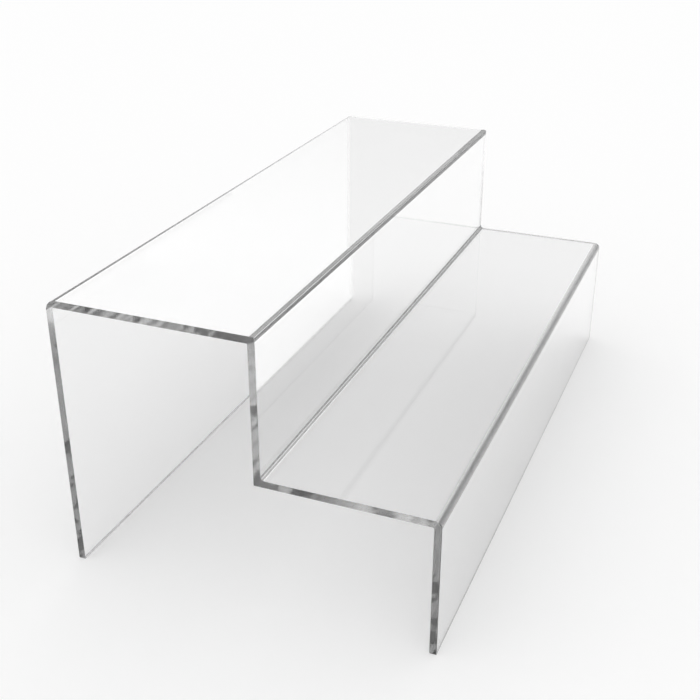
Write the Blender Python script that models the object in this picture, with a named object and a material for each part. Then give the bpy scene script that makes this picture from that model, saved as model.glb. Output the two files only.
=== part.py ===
"""Clear acrylic step display stand: five sheet panels joined at mitred, rounded corners.

Units are metres, +Z is up. X runs along the steps, -Y is the front (the lower step) and the
origin is on the table under the middle of the stand.
"""

from math import asin, cos, pi, radians, sin, sqrt

import bmesh
import bpy
from mathutils import Euler, Vector

# Driving dimensions
WIDTH = 0.300           # length of every panel along X
UPPER_TREAD = 0.089     # back face of the stand to the front face of the riser
LOWER_TREAD = 0.072     # front face of the riser to the front face of the stand
LOWER_RISE = 0.061      # table to the top of the lower shelf
UPPER_RISE = 0.060      # top of the lower shelf to the top of the upper shelf
SHEET = 0.003           # thickness of the acrylic sheet
CORNER_RADIUS = 0.003   # rounding on the outside of each welded corner
BOND_GAP = 0.0003       # cement line between two mitred panels

ARC_STEPS = 8           # straight steps in each panel's share of a rounded corner
WELD_DISTANCE = 0.00001
SMOOTH_ANGLE = radians(30)

COLLECTION_NAME = "step_display_stand"
ACRYLIC_COLOUR = (0.93, 0.95, 0.95, 1.0)
ACRYLIC_ROUGHNESS = 0.03
ACRYLIC_IOR = 1.49

# Planes of the stand, worked out from the driving dimensions
DEPTH = UPPER_TREAD + LOWER_TREAD
BACK_Y = DEPTH / 2
FRONT_Y = -DEPTH / 2
RISER_Y = BACK_Y - UPPER_TREAD
LOWER_TOP_Z = LOWER_RISE
UPPER_TOP_Z = LOWER_RISE + UPPER_RISE

# How a panel's end is made: cut square, or mitred with the outside of the corner on one of its faces
SQUARE = "square"
OUTSIDE_FIRST = "outside of the corner on the first face"
OUTSIDE_SECOND = "outside of the corner on the second face"

# A panel's outline is drawn with its length along local X and its thickness along local Y.
# A shelf lies with its length along Y and its second face up.
# An upright stands with its length along Z and its second face to the front.
LYING = Euler((radians(90), 0, radians(90)))
STANDING = Euler((radians(180), radians(-90), 0))


def mitred_end():
    """Points of a mitred end, from the outside face round to the inside face.

    The corner's sharp outside would be at (0, 0). The panel lies at negative x and its outside
    face at y = 0. The mitre plane stands back by half of the cement line.
    """
    centre = Vector((-CORNER_RADIUS, -CORNER_RADIUS))
    stop = pi / 4 + asin(BOND_GAP / 2 / CORNER_RADIUS)
    points = []
    for step in range(ARC_STEPS + 1):
        angle = pi / 2 + (stop - pi / 2) * step / ARC_STEPS
        points.append(centre + CORNER_RADIUS * Vector((cos(angle), sin(angle))))
    points.append(Vector((-SHEET - BOND_GAP / sqrt(2), -SHEET)))
    return points


def end_points(kind):
    """Points of a panel's far end at x = 0, from the second face (y = SHEET) to the first (y = 0)."""
    if kind == SQUARE:
        return [Vector((0, SHEET)), Vector((0, 0))]
    points = [point + Vector((0, SHEET)) for point in mitred_end()]
    if kind == OUTSIDE_SECOND:
        return points
    return [Vector((point.x, SHEET - point.y)) for point in reversed(points)]


def panel_outline(length, start, end):
    """Closed outline of a panel seen from its cut end, from its start at x = 0 to its end."""
    far = [point + Vector((length, 0)) for point in end_points(end)]
    near = [Vector((-point.x, point.y)) for point in reversed(end_points(start))]
    return far + near


def clear_acrylic(name):
    """A clear, polished acrylic for one panel."""
    material = bpy.data.materials.new(name)
    material.use_nodes = True
    shader = material.node_tree.nodes["Principled BSDF"]
    shader.inputs["Base Color"].default_value = ACRYLIC_COLOUR
    shader.inputs["Roughness"].default_value = ACRYLIC_ROUGHNESS
    shader.inputs["Metallic"].default_value = 0.0
    shader.inputs["IOR"].default_value = ACRYLIC_IOR
    shader.inputs["Transmission Weight"].default_value = 1.0
    return material


def extruded_mesh(name, outline):
    """Mesh of an outline extruded over the stand's width, half of it to each side."""
    curve = bpy.data.curves.new(name, "CURVE")
    curve.dimensions = "2D"
    curve.fill_mode = "BOTH"
    curve.extrude = WIDTH / 2
    spline = curve.splines.new("POLY")
    spline.points.add(len(outline) - 1)
    for place, point in zip(spline.points, outline):
        place.co = (point.x, point.y, 0, 1)
    spline.use_cyclic_u = True
    drawn = bpy.data.objects.new(name, curve)
    bpy.context.scene.collection.objects.link(drawn)
    drawn_now = drawn.evaluated_get(bpy.context.evaluated_depsgraph_get())
    mesh = bpy.data.meshes.new_from_object(drawn_now)
    bpy.data.objects.remove(drawn)
    bpy.data.curves.remove(curve)
    shape = bmesh.new()
    shape.from_mesh(mesh)
    bmesh.ops.remove_doubles(shape, verts=shape.verts, dist=WELD_DISTANCE)
    bmesh.ops.recalc_face_normals(shape, faces=shape.faces)
    shape.to_mesh(mesh)
    shape.free()
    mesh.shade_smooth()
    mesh.set_sharp_from_angle(angle=SMOOTH_ANGLE)
    return mesh


def add_panel(collection, stand, name, outline, location, rotation):
    """Adds one panel to the stand, as its own object with its own material."""
    mesh = extruded_mesh(name, outline)
    mesh.name = name
    mesh.materials.clear()
    mesh.materials.append(clear_acrylic("clear_acrylic_" + name))
    panel = bpy.data.objects.new(name, mesh)
    panel.location = location
    panel.rotation_euler = rotation
    panel.parent = stand
    collection.objects.link(panel)


def build():
    """Builds the five panels from the back of the stand to its front."""
    for old in list(bpy.data.objects):
        bpy.data.objects.remove(old)
    collection = bpy.data.collections.new(COLLECTION_NAME)
    bpy.context.scene.collection.children.link(collection)
    stand = bpy.data.objects.new(COLLECTION_NAME + "_origin", None)
    collection.objects.link(stand)

    back = panel_outline(UPPER_TOP_Z, SQUARE, OUTSIDE_FIRST)
    add_panel(collection, stand, "back_panel", back, (0, BACK_Y, 0), STANDING)

    upper = panel_outline(UPPER_TREAD, OUTSIDE_SECOND, OUTSIDE_SECOND)
    add_panel(collection, stand, "upper_shelf", upper, (0, RISER_Y, UPPER_TOP_Z - SHEET), LYING)

    riser = panel_outline(UPPER_RISE + SHEET, OUTSIDE_FIRST, OUTSIDE_SECOND)
    add_panel(collection, stand, "middle_riser", riser, (0, RISER_Y + SHEET, LOWER_TOP_Z - SHEET), STANDING)

    lower = panel_outline(LOWER_TREAD + SHEET, OUTSIDE_SECOND, OUTSIDE_FIRST)
    add_panel(collection, stand, "lower_shelf", lower, (0, FRONT_Y, LOWER_TOP_Z - SHEET), LYING)

    front = panel_outline(LOWER_TOP_Z, SQUARE, OUTSIDE_SECOND)
    add_panel(collection, stand, "front_panel", front, (0, FRONT_Y + SHEET, 0), STANDING)


build()
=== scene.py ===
"""Looks of the clear acrylic step display stand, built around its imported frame.

Units are metres and +Z is up. X runs along the steps, -Y is the front, where the lower step is,
and the origin is on the table under the middle of the stand.
"""

import logging
import math
from dataclasses import dataclass, field
from enum import Enum

import bmesh
import bpy
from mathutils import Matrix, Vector


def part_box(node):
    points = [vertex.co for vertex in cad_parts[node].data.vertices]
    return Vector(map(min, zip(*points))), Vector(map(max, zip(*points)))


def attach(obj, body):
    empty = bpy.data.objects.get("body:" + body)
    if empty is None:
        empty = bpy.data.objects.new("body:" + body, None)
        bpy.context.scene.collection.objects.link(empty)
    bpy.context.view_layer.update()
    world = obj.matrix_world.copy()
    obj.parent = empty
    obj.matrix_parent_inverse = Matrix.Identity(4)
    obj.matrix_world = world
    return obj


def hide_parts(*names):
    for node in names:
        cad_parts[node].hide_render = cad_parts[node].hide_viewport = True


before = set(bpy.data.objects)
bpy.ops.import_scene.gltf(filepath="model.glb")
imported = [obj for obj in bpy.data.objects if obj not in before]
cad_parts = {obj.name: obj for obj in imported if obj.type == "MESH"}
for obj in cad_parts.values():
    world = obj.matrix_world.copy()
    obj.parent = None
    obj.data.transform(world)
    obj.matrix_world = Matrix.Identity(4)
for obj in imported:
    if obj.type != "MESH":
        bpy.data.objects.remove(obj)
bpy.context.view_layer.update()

BODY = "root"
MM = 0.001

# The Mix node's sockets by number, because those for numbers and for colours share their names.
MIX_SHARE = 0
NUMBER_A, NUMBER_B, MIXED_NUMBER = 2, 3, 0
COLOUR_A, COLOUR_B, MIXED_COLOUR = 6, 7, 2

# Bounces are whole numbers, so a count is compared with half a bounce less than the number meant.
HALF_A_BOUNCE = 0.5

# How far a face looks along an axis: straight along it, half along it or hardly at all.
STRAIGHT, HALF, HARDLY = 0.99, 0.5, 0.01

log = logging.getLogger("step_display_stand")


def linear(hex_colour: str) -> tuple[float, float, float, float]:
    """Turns an sRGB hex colour into linear light.

    Args:
        hex_colour: six hex digits, such as "f4f6f6".

    Returns:
        Red, green and blue, and an alpha of 1.
    """
    shades = [int(hex_colour[start:start + 2], 16) / 255 for start in (0, 2, 4)]
    red, green, blue = (s / 12.92 if s <= 0.04045 else ((s + 0.055) / 1.055) ** 2.4 for s in shades)
    return red, green, blue, 1.0


def add_node(tree: bpy.types.NodeTree, kind: str, inputs: dict[str | int, object] | None = None,
             **settings: object) -> bpy.types.Node:
    """Adds a node with its settings and links.

    Args:
        tree: the node tree that it goes into.
        kind: the node's type name.
        inputs: input name or number, to a plain value or to the socket that feeds it.
        settings: the node's own properties.

    Returns:
        The new node.
    """
    node = tree.nodes.new(kind)
    for name, value in settings.items():
        setattr(node, name, value)
    for name, value in (inputs or {}).items():
        if isinstance(value, bpy.types.NodeSocket):
            tree.links.new(value, node.inputs[name])
        else:
            node.inputs[name].default_value = value
    return node


class Heading(Enum):
    """Which way a panel runs on past one of its ends."""

    UP = (0, 0, 1)
    DOWN = (0, 0, -1)
    FRONT = (0, -1, 0)
    BACK = (0, 1, 0)


class Surface(Enum):
    """A panel's surfaces, in the order of its material slots."""

    SHEET = 0
    CUT = 1
    MATT = 2
    WELD = 3


@dataclass(frozen=True)
class Streaks:
    """Streaks across a surface: their size along each axis, how sharply they begin, slant and place."""

    size: tuple[float, float, float]
    fade: tuple[float, float]
    slant: float = 0.0
    start: tuple[float, float, float] = (0.0, 0.0, 0.0)
    detail: float = 3.0
    roughness: float = 0.65

    def build(self, tree: bpy.types.NodeTree) -> bpy.types.NodeSocket:
        """Adds the streaks to a material.

        Args:
            tree: the material's node tree.

        Returns:
            A value of 0 between the streaks and 1 on them.
        """
        place = add_node(tree, "ShaderNodeTexCoord").outputs["Object"]
        turned = add_node(tree, "ShaderNodeMapping",
                          {"Vector": place, "Location": self.start, "Rotation": (self.slant, 0, 0),
                           "Scale": self.size}, vector_type="TEXTURE")
        noise = add_node(tree, "ShaderNodeTexNoise",
                         {"Vector": turned.outputs[0], "Scale": 1.0, "Detail": self.detail,
                          "Roughness": self.roughness})
        faded = add_node(tree, "ShaderNodeMapRange",
                         {"Value": noise.outputs[0], "From Min": self.fade[0], "From Max": self.fade[1]},
                         interpolation_type="SMOOTHSTEP")
        return faded.outputs["Result"]


@dataclass(frozen=True, kw_only=True)
class Finish:
    """A surface of the stand: its name, tint and roughness, and its marks."""

    name: str
    tint: str
    roughness: float

    def material(self) -> bpy.types.Material:
        """Makes the material.

        Returns:
            The finished material.
        """
        made = bpy.data.materials.new(self.name)
        made.use_nodes = True
        shader = made.node_tree.nodes["Principled BSDF"]
        shader.inputs["Base Color"].default_value = linear(self.tint)
        shader.inputs["Roughness"].default_value = self.roughness
        self._fill(made.node_tree, shader)
        self._mark(made.node_tree, shader)
        return made

    def _fill(self, tree: bpy.types.NodeTree, shader: bpy.types.Node) -> None:
        """Sets what the material under the surface does to light."""

    def _mark(self, tree: bpy.types.NodeTree, shader: bpy.types.Node) -> None:
        """Leaves a plain surface without marks."""

    def _tint_marks(self, tree: bpy.types.NodeTree, shader: bpy.types.Node, marks: bpy.types.NodeSocket,
                    tint: str) -> None:
        """Tints the surface where it is marked.

        Args:
            tree: the material's node tree.
            shader: the material's shader.
            marks: 1 on the marks and 0 beside them.
            tint: the tint on the marks.
        """
        tints = {MIX_SHARE: marks, COLOUR_A: linear(self.tint), COLOUR_B: linear(tint)}
        mixed = add_node(tree, "ShaderNodeMix", tints, data_type="RGBA")
        tree.links.new(mixed.outputs[MIXED_COLOUR], shader.inputs["Base Color"])

    def _dull_marks(self, tree: bpy.types.NodeTree, shader: bpy.types.Node, marks: bpy.types.NodeSocket,
                    roughness: float) -> None:
        """Takes gloss from the surface where it is marked.

        Args:
            tree: the material's node tree.
            shader: the material's shader.
            marks: 1 on the marks and 0 beside them.
            roughness: the roughness on the marks.
        """
        gloss = {MIX_SHARE: marks, NUMBER_A: self.roughness, NUMBER_B: roughness}
        mixed = add_node(tree, "ShaderNodeMix", gloss, data_type="FLOAT")
        tree.links.new(mixed.outputs[MIXED_NUMBER], shader.inputs["Roughness"])


@dataclass(frozen=True, kw_only=True)
class ClearAcrylic(Finish):
    """Surface of clear cast acrylic, which takes away a little light over a long way through it."""

    ior: float = 1.49
    loss_per_metre: float = 0.75

    def _fill(self, tree: bpy.types.NodeTree, shader: bpy.types.Node) -> None:
        """Lets light through, and takes a little of it away.

        Args:
            tree: the material's node tree.
            shader: the material's shader.
        """
        shader.inputs["IOR"].default_value = self.ior
        shader.inputs["Transmission Weight"].default_value = 1.0
        loss = add_node(tree, "ShaderNodeVolumeAbsorption",
                        {"Color": (0, 0, 0, 1), "Density": self.loss_per_metre})
        tree.links.new(loss.outputs["Volume"], tree.nodes["Material Output"].inputs["Volume"])


@dataclass(frozen=True, kw_only=True)
class CastSheet(ClearAcrylic):
    """Cast acrylic sheet with the smooth faces it was cast with, wiped along the steps."""

    # Casting between plates of glass leaves it clear and glossy.
    # A slight haze softens what lies far behind it.
    # Wiping with a cloth leaves dull streaks, here 3 mm wide, coarser than real, so that they show.
    name: str = "cast_acrylic_sheet"
    tint: str = "fcfcfc"
    roughness: float = 0.03
    wiped_roughness: float = 0.04
    wiping: Streaks = Streaks(size=(120 * MM, 3 * MM, 3 * MM), fade=(0.55, 0.7))

    def _mark(self, tree: bpy.types.NodeTree, shader: bpy.types.Node) -> None:
        """Draws the faint marks of wiping."""
        self._dull_marks(tree, shader, self.wiping.build(tree), self.wiped_roughness)


@dataclass(frozen=True, kw_only=True)
class CutAcrylic(ClearAcrylic):
    """Acrylic where a saw has cut it, with its marks, which are tinted as painted shade."""

    painted_shade_tint: str
    streak_roughness: float
    streaks: Streaks

    def _mark(self, tree: bpy.types.NodeTree, shader: bpy.types.Node) -> None:
        """Draws the marks that the saw has left, dulled and tinted with painted shade.

        Args:
            tree: the material's node tree.
            shader: the material's shader.
        """
        marks = self.streaks.build(tree)
        # The tint on the marks is painted shade; the roughness on them is the marks' own.
        self._tint_marks(tree, shader, marks, self.painted_shade_tint)
        self._dull_marks(tree, shader, marks, self.streak_roughness)


@dataclass(frozen=True, kw_only=True)
class PolishedCut(CutAcrylic):
    """Saw-cut end of a panel, polished with a flame, with stretches of slanting saw marks tinted as painted
    shade.
    """

    # The flame melts the cut clear, so the end shows the grey light that comes along inside the sheet.
    # Saw marks that it left scatter that light a little.
    # The dark patches between smooth grey stretches are painted shade, a dark tint on the marks.
    # The patches stand for many fine marks and are coarser than the 1 mm of a real saw's marks.
    name: str = "flame_polished_saw_cut_painted_shade"
    tint: str = "fafafa"
    roughness: float = 0.0
    # Painted shade: the dark tint on the saw marks, for the dark patches of the light piped inside the
    # sheet.
    painted_shade_tint: str = "6e6e6e"
    streak_roughness: float = 0.08
    streaks: Streaks = Streaks(size=(60 * MM, 20 * MM, 40 * MM), slant=math.radians(45),
                               start=(0.0, -511.3 * MM, 300.8 * MM), roughness=0.9, fade=(0.50, 0.56))


@dataclass(frozen=True, kw_only=True)
class MattCut(CutAcrylic):
    """Saw-cut foot of a panel or scraped arris of a cut end, left matt, with the marks of the blade and a
    painted grey shade.
    """

    # Left as the blade cut it, it scatters light, so the foot and the arrises are soft grey lines.
    # Their grey is partly painted shade, a grey tint on the cut.
    # The marks are 6 mm patches of many cuts, coarser than real, so that the lines vary along their length.
    # The marks are tinted a darker painted shade.
    name: str = "matt_saw_cut_painted_shade"
    # Painted shade: the grey tint that darkens the foot and the arrises.
    tint: str = "b4b4b4"
    roughness: float = 0.5
    # Painted shade: a darker grey on the marks.
    painted_shade_tint: str = "9c9c9c"
    streak_roughness: float = 0.6
    streaks: Streaks = Streaks(size=(6 * MM, 6 * MM, 6 * MM), fade=(0.3, 0.7))


@dataclass(frozen=True, kw_only=True)
class SolventWeld(Finish):
    """Solvent weld inside a corner, where two sheets have run into one: a faint grey film on each mitre."""

    # The solvent makes one piece of both sheets, so the mitre stays clear, with only a thin grey seam.
    # Paler specks of trapped air, about 4 mm apart, keep the seam from being one even grey.
    name: str = "solvent_weld"
    tint: str = "5a5c5c"
    roughness: float = 0.5
    film: float = 0.05
    air_tint: str = "8e9090"
    air: Streaks = Streaks(size=(4 * MM, 4 * MM, 4 * MM), fade=(0.55, 0.7))

    def _fill(self, tree: bpy.types.NodeTree, shader: bpy.types.Node) -> None:
        """Takes a little of the light and passes the rest straight on."""
        shader.inputs["Alpha"].default_value = self.film
        shader.inputs["Specular IOR Level"].default_value = 0.0

    def _mark(self, tree: bpy.types.NodeTree, shader: bpy.types.Node) -> None:
        """Draws the specks of trapped air."""
        self._tint_marks(tree, shader, self.air.build(tree), self.air_tint)


@dataclass(frozen=True)
class CornerRadii:
    """How far a welded corner is rounded off, on the side that it closes in and on the other side."""

    inner: float
    outer: float


@dataclass(frozen=True)
class PanelEnd:
    """An end of a panel, seen along X: half of a welded corner up to its mitre, or a square-cut foot."""

    heading: Heading
    towards: Heading
    inside: tuple[float, float]
    radii: CornerRadii | None = None

    def ahead(self) -> Vector:
        """Direction in which the panel runs out at this end."""
        return Vector(self.heading.value)

    def aside(self) -> Vector:
        """Direction in which the next panel runs on, which is the side of the corner's inside."""
        return Vector(self.towards.value)

    def tip(self, side: Vector, sheet: float) -> tuple[Vector, float]:
        """Gives the sharp point that one face of the panel runs to, and the radius that eases it.

        Args:
            side: direction that the face looks in.
            sheet: thickness of the sheet.

        Returns:
            The point and the radius.
        """
        point = Vector((0, *self.inside))
        inner = side.dot(self.aside()) > 0
        if not inner:
            point -= sheet * self.aside()
        if self.radii is None:
            return point, 0.0
        if inner:
            return point, self.radii.inner
        return point + sheet * self.ahead(), self.radii.outer


@dataclass
class AcrylicPanel:
    """One panel cut from sheet, with its ends welded into the corners and the rest of its edges cut."""

    name: str
    node: str
    left: float
    right: float
    sheet: float
    ends: tuple[PanelEnd, PanelEnd]
    weld_gap: float = 0.01 * MM
    corner_steps: int = 16
    arris: float = 0.2 * MM
    arris_steps: int = 2
    sharp_angle: float = math.radians(60)
    hard_angle: float = math.radians(30)
    flat_share: float = 8.0
    piece: bpy.types.Object | None = field(default=None, init=False)

    def build(self) -> bpy.types.Object:
        """Draws the panel's section, extrudes it along X and finishes its edges.

        Returns:
            The panel's object.
        """
        shape = bmesh.new()
        self._draw_section(shape)
        section = bmesh.ops.contextual_create(shape, geom=shape.edges[:])["faces"]
        swept = bmesh.ops.extrude_face_region(shape, geom=section, use_keep_orig=True)
        moved = [part for part in swept["geom"] if isinstance(part, bmesh.types.BMVert)]
        bmesh.ops.translate(shape, verts=moved, vec=(self.right - self.left, 0, 0))
        bmesh.ops.recalc_face_normals(shape, faces=shape.faces)
        self._part_welds(shape)
        self._ease_edges(shape)
        self._sort_surfaces(shape)
        mesh = bpy.data.meshes.new(self.name)
        shape.to_mesh(mesh)
        shape.free()
        self.piece = bpy.data.objects.new(self.name, mesh)
        bpy.context.scene.collection.objects.link(self.piece)
        return self.piece

    def _draw_section(self, shape: bmesh.types.BMesh) -> None:
        """Draws the outline of the panel at its left end: two faces, with their halves of the corners.

        Args:
            shape: the panel's mesh.
        """
        inner_side = self.ends[0].aside()
        tips = [[self._draw_half_corner(shape, end, side) for end in self.ends]
                for side in (inner_side, -inner_side)]
        for near, far in tips:
            shape.edges.new((near[0], far[0]))
        for near, far in zip(*tips):
            shape.edges.new((near[1], far[1]))

    def _draw_half_corner(self, shape: bmesh.types.BMesh, end: PanelEnd,
                          side: Vector) -> tuple[bmesh.types.BMVert, bmesh.types.BMVert]:
        """Draws one face's half of a rounded corner.

        Args:
            shape: the panel's mesh.
            end: the panel's end at that corner.
            side: direction that the face looks in.

        Returns:
            The vertices where the round starts from the flat face, and where it ends at the mitre.
        """
        point, radius = end.tip(side, self.sheet)
        start = shape.verts.new(point - radius * end.ahead() + Vector((self.left, 0, 0)))
        if radius == 0.0:
            return start, start
        turn = math.copysign(math.pi / 4, end.ahead().cross(end.aside()).x)
        spun = bmesh.ops.spin(shape, geom=[start], cent=point + radius * (end.aside() - end.ahead()),
                              axis=(1, 0, 0), angle=turn, steps=self.corner_steps, use_merge=False)
        return start, next(part for part in spun["geom_last"] if isinstance(part, bmesh.types.BMVert))

    def _part_welds(self, shape: bmesh.types.BMesh) -> None:
        """Marks the mitred faces and draws each back by half of the weld between the two panels.

        Args:
            shape: the panel's mesh.
        """
        for end in self.ends:
            if end.radii:
                across = (end.ahead() + end.aside()).normalized()
                weld = max(shape.faces, key=lambda face: face.normal.dot(across))
                weld.material_index = Surface.WELD.value
                bmesh.ops.translate(shape, verts=weld.verts, vec=-self.weld_gap / 2 * end.ahead())

    def _ease_edges(self, shape: bmesh.types.BMesh) -> None:
        """Merges the parts of each cut end and takes the sharpness off the cut edges.

        Args:
            shape: the panel's mesh.
        """
        for side in (-1, 1):
            cap = [face for face in shape.faces if face.normal.x * side > STRAIGHT]
            bmesh.ops.dissolve_faces(shape, faces=cap, use_verts=False)
        sharp = [edge for edge in shape.edges if edge.calc_face_angle(0) > self.sharp_angle
                 and all(face.material_index != Surface.WELD.value for face in edge.link_faces)]
        bmesh.ops.bevel(shape, geom=sharp, offset=self.arris, offset_type="OFFSET", affect="EDGES",
                        segments=self.arris_steps, profile=0.5, material=-1, clamp_overlap=True)

    def _sort_surfaces(self, shape: bmesh.types.BMesh) -> None:
        """Gives each face its surface, and each edge its hard or smooth shading.

        Args:
            shape: the panel's mesh.
        """
        for face in shape.faces:
            face.smooth = True
            if face.material_index != Surface.WELD.value:
                face.material_index = self._surface_of(face).value
        for edge in shape.edges:
            areas = sorted(face.calc_area() for face in edge.link_faces)
            tangent = len(areas) == 2 and areas[1] > self.flat_share * areas[0]
            edge.smooth = edge.calc_face_angle(0) < self.hard_angle and not tangent

    def _surface_of(self, face: bmesh.types.BMFace) -> Surface:
        """Tells which surface a face belongs to, from the way it looks.

        Args:
            face: any face but a weld.

        Returns:
            A polished cut at the ends, matt on the feet and the scraped arrises of the ends, or sheet.
        """
        if abs(face.normal.x) > STRAIGHT:
            return Surface.CUT
        scraped = abs(face.normal.x) > HARDLY
        foot = face.normal.z < -HALF and face.calc_center_median().z < self.arris
        return Surface.MATT if scraped or foot else Surface.SHEET

    def dress(self, finishes: dict[Surface, bpy.types.Material]) -> None:
        """Puts the finishes on the panel and ties it to its CAD node.

        Args:
            finishes: the material of each surface.
        """
        for surface in Surface:
            self.piece.data.materials.append(finishes[surface])
        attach(self.piece, BODY)
        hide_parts(self.node)


@dataclass
class StepStand:
    """The stand: five panels of one sheet, welded at four corners."""

    sheet: float
    left: float
    right: float
    back: float
    riser: float
    front: float
    upper: float
    lower: float
    back_top: CornerRadii = CornerRadii(0.3 * MM, 4.6 * MM)
    upper_nose: CornerRadii = CornerRadii(0.4 * MM, 0.9 * MM)
    riser_foot: CornerRadii = CornerRadii(2.0 * MM, 0.3 * MM)
    lower_nose: CornerRadii = CornerRadii(0.8 * MM, 3.0 * MM)
    panels: list[AcrylicPanel] = field(default_factory=list)

    @classmethod
    def from_frame(cls) -> "StepStand":
        """Reads the stand's planes from the CAD nodes.

        Returns:
            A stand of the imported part's size.
        """
        shelf_low, shelf_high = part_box("upper_shelf")
        return cls(sheet=shelf_high.z - shelf_low.z, left=shelf_low.x, right=shelf_high.x,
                   back=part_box("back_panel")[1].y, riser=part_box("middle_riser")[0].y,
                   front=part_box("front_panel")[0].y, upper=shelf_high.z,
                   lower=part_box("lower_shelf")[1].z)

    def build(self) -> list[AcrylicPanel]:
        """Builds the five panels, from the back to the front.

        Returns:
            The panels.
        """
        sheet = self.sheet
        inner_back, inner_front = self.back - sheet, self.front + sheet
        back_top = ((inner_back, self.upper - sheet), self.back_top)
        upper_nose = ((self.riser + sheet, self.upper - sheet), self.upper_nose)
        riser_foot = ((self.riser, self.lower), self.riser_foot)
        lower_nose = ((inner_front, self.lower - sheet), self.lower_nose)
        plans = (
            ("back_panel", PanelEnd(Heading.DOWN, Heading.FRONT, (inner_back, 0.0)),
             PanelEnd(Heading.UP, Heading.FRONT, *back_top)),
            ("upper_shelf", PanelEnd(Heading.BACK, Heading.DOWN, *back_top),
             PanelEnd(Heading.FRONT, Heading.DOWN, *upper_nose)),
            ("middle_riser", PanelEnd(Heading.UP, Heading.BACK, *upper_nose),
             PanelEnd(Heading.DOWN, Heading.FRONT, *riser_foot)),
            ("lower_shelf", PanelEnd(Heading.BACK, Heading.UP, *riser_foot),
             PanelEnd(Heading.FRONT, Heading.DOWN, *lower_nose)),
            ("front_panel", PanelEnd(Heading.UP, Heading.BACK, *lower_nose),
             PanelEnd(Heading.DOWN, Heading.BACK, (inner_front, 0.0))),
        )
        for node, *ends in plans:
            panel = AcrylicPanel(f"{node}_sheet", node, self.left, self.right, sheet, tuple(ends))
            panel.build()
            self.panels.append(panel)
        return self.panels


@dataclass(frozen=True)
class PaleFloor:
    """Matt white studio floor, lit a little from within as a light table is."""

    # The matt paint gives soft grey shadows, and the glow keeps them as pale as a light table does.
    # Beyond behind_from, in Y, the floor is plain white where the four faces of two sheets are before it.
    # Its white_strength makes up for what those sheets take away, and only a ray through both sees it.
    behind_from: float
    name: str = "matt_white_floor"
    paint: str = "fdfdfd"
    glow: float = 0.27
    mirrored_glow: float = 0.08
    faces_of_two: int = 4
    white_strength: float = 1.2
    soft_edge: float = 2 * MM
    half_width: float = 6.0
    air_gap: float = 0.05 * MM

    def build(self) -> bpy.types.Object:
        """Lays the floor.

        Returns:
            The floor's object.
        """
        shape = bmesh.new()
        bmesh.ops.create_grid(shape, x_segments=1, y_segments=1, size=self.half_width)
        bmesh.ops.translate(shape, verts=shape.verts, vec=(0, 0, -self.air_gap))
        mesh = bpy.data.meshes.new("floor")
        shape.to_mesh(mesh)
        shape.free()
        floor = bpy.data.objects.new("floor", mesh)
        bpy.context.scene.collection.objects.link(floor)
        mesh.materials.append(self._material())
        return floor

    def _material(self) -> bpy.types.Material:
        """Makes the floor's material.

        Returns:
            Matt white that keeps the shadows, lightened by its glow, and plain white behind two sheets.
        """
        made = bpy.data.materials.new(self.name)
        made.use_nodes = True
        tree = made.node_tree
        tree.nodes.clear()
        ray = add_node(tree, "ShaderNodeLightPath").outputs
        behind = self._behind(tree, ray)
        share = add_node(tree, "ShaderNodeMath", {0: self._glow(tree, ray), 1: behind}, operation="MAXIMUM")
        matt = add_node(tree, "ShaderNodeBsdfDiffuse", {"Color": linear(self.paint)})
        strengths = {MIX_SHARE: behind, NUMBER_A: 1.0, NUMBER_B: self.white_strength}
        strength = add_node(tree, "ShaderNodeMix", strengths, data_type="FLOAT").outputs[MIXED_NUMBER]
        white = add_node(tree, "ShaderNodeEmission", {"Color": (1, 1, 1, 1), "Strength": strength})
        mixed = add_node(tree, "ShaderNodeMixShader",
                         {0: share.outputs[0], 1: matt.outputs[0], 2: white.outputs[0]})
        add_node(tree, "ShaderNodeOutputMaterial", {"Surface": mixed.outputs[0]})
        return made

    def _glow(self, tree: bpy.types.NodeTree, ray: bpy.types.bpy_prop_collection) -> bpy.types.NodeSocket:
        """Works out how much the floor glows for a ray that looks at it.

        Args:
            tree: the material's node tree.
            ray: the outputs that tell what the ray has met.

        Returns:
            The share of glow, lower where the ray was mirrored.
        """
        seen = add_node(tree, "ShaderNodeMath", {0: ray["Is Camera Ray"], 1: ray["Is Transmission Ray"]},
                        operation="MAXIMUM")
        through = add_node(tree, "ShaderNodeMath", {0: seen.outputs[0], 1: self.glow}, operation="MULTIPLY")
        mirrored = add_node(tree, "ShaderNodeMath", {0: ray["Glossy Depth"], 1: HALF_A_BOUNCE},
                            operation="GREATER_THAN")
        glows = {MIX_SHARE: mirrored.outputs[0], NUMBER_A: through.outputs[0], NUMBER_B: self.mirrored_glow}
        return add_node(tree, "ShaderNodeMix", glows, data_type="FLOAT").outputs[MIXED_NUMBER]

    def _behind(self, tree: bpy.types.NodeTree, ray: bpy.types.bpy_prop_collection) -> bpy.types.NodeSocket:
        """Works out where a ray sees the floor behind the stand, through two sheets.

        Args:
            tree: the material's node tree.
            ray: the outputs that tell what the ray has met.

        Returns:
            A value of 1 there and 0 elsewhere, with a soft edge.
        """
        doubled = add_node(tree, "ShaderNodeMath",
                           {0: ray["Transmission Depth"], 1: self.faces_of_two - HALF_A_BOUNCE},
                           operation="GREATER_THAN")
        place = add_node(tree, "ShaderNodeTexCoord").outputs["Object"]
        depth = add_node(tree, "ShaderNodeSeparateXYZ", {0: place}).outputs["Y"]
        edge = {"Value": depth, "From Min": self.behind_from - self.soft_edge, "From Max": self.behind_from}
        beyond = add_node(tree, "ShaderNodeMapRange", edge, interpolation_type="SMOOTHSTEP")
        behind = add_node(tree, "ShaderNodeMath", {0: doubled.outputs[0], 1: beyond.outputs[0]},
                          operation="MULTIPLY")
        return behind.outputs[0]


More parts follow.
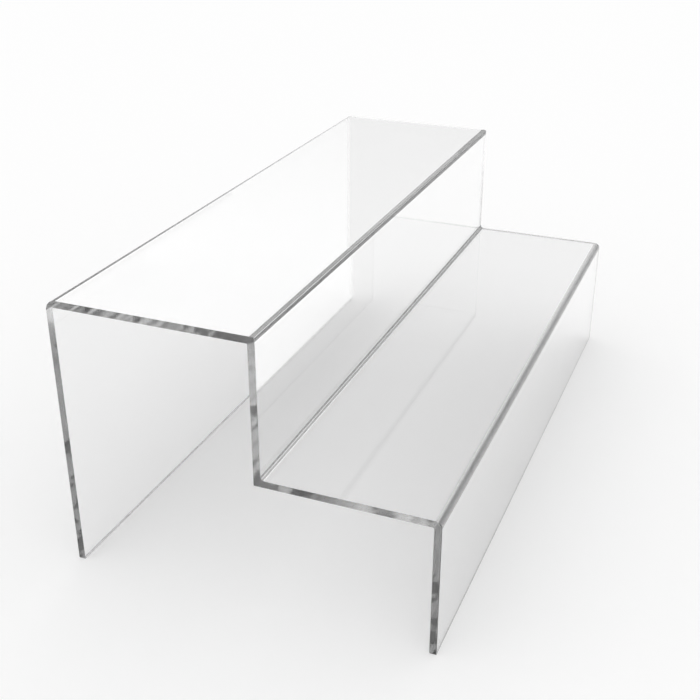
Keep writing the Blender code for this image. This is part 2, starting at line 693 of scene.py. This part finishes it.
@dataclass(frozen=True)
class StudioLight:
    """Soft white light from all round, whose mirror image in the sheets is brighter overhead."""

    low: float = 0.76
    high: float = 1.2
    low_height: float = 0.45
    high_height: float = 0.75

    def build(self) -> None:
        """Lights the world."""
        world = bpy.data.worlds.new("white_studio")
        bpy.context.scene.world = world
        world.use_nodes = True
        tree = world.node_tree
        towards = add_node(tree, "ShaderNodeTexCoord").outputs["Generated"]
        height = add_node(tree, "ShaderNodeSeparateXYZ", {0: towards}).outputs["Z"]
        graded = add_node(tree, "ShaderNodeMapRange",
                          {"Value": height, "From Min": self.low_height, "From Max": self.high_height,
                           "To Min": self.low, "To Max": self.high}, interpolation_type="SMOOTHSTEP")
        ray = add_node(tree, "ShaderNodeLightPath").outputs
        mirrored = add_node(tree, "ShaderNodeMath", {0: ray["Glossy Depth"], 1: HALF_A_BOUNCE},
                            operation="GREATER_THAN")
        strengths = {MIX_SHARE: mirrored.outputs[0], NUMBER_A: 1.0, NUMBER_B: graded.outputs["Result"]}
        strength = add_node(tree, "ShaderNodeMix", strengths, data_type="FLOAT")
        backdrop = tree.nodes["Background"]
        backdrop.inputs["Color"].default_value = (1, 1, 1, 1)
        tree.links.new(strength.outputs[MIXED_NUMBER], backdrop.inputs["Strength"])


@dataclass(frozen=True)
class LightPaths:
    """How often light may bounce: the ends of a sheet show light that was piped along it."""

    bounces: int = 256

    def build(self) -> None:
        """Lets light go on for as long as a sheet pipes it."""
        paths = bpy.context.scene.cycles
        paths.max_bounces = paths.glossy_bounces = paths.transmission_bounces = self.bounces
        paths.transparent_max_bounces = self.bounces


@dataclass(frozen=True)
class Viewpoint:
    """The photograph's viewpoint: above the open near end, with the steps running away to the right."""

    eye: tuple[float, float, float] = (-0.4577, -0.1702, 0.2879)
    aim: tuple[float, float, float] = (0.0, 0.0160, 0.0425)
    lens_mm: float = 55.96
    sensor_mm: float = 36.0
    nearest: float = 0.01

    def build(self) -> bpy.types.Object:
        """Places the camera.

        Returns:
            The camera's object.
        """
        lens = bpy.data.cameras.new("camera")
        lens.lens = self.lens_mm
        lens.sensor_width = self.sensor_mm
        lens.clip_start = self.nearest
        camera = bpy.data.objects.new("camera", lens)
        bpy.context.scene.collection.objects.link(camera)
        camera.location = self.eye
        sight = Vector(self.aim) - Vector(self.eye)
        camera.rotation_euler = sight.to_track_quat("-Z", "Y").to_euler()
        bpy.context.scene.camera = camera
        return camera


def main() -> None:
    """Builds the viewpoint, the light, the floor and the stand, and reports each piece."""
    bpy.context.scene.view_settings.view_transform = "Standard"
    Viewpoint().build()
    StudioLight().build()
    LightPaths().build()
    stand = StepStand.from_frame()
    PaleFloor(behind_from=stand.back - stand.sheet).build()
    finishes = {Surface.SHEET: CastSheet().material(), Surface.CUT: PolishedCut().material(),
                Surface.MATT: MattCut().material(), Surface.WELD: SolventWeld().material()}
    for panel in stand.build():
        panel.dress(finishes)
        log.info("%s stands for %s, %d faces", panel.name, panel.node, len(panel.piece.data.polygons))


if __name__ == "__main__":
    logging.basicConfig(level=logging.INFO)
    main()
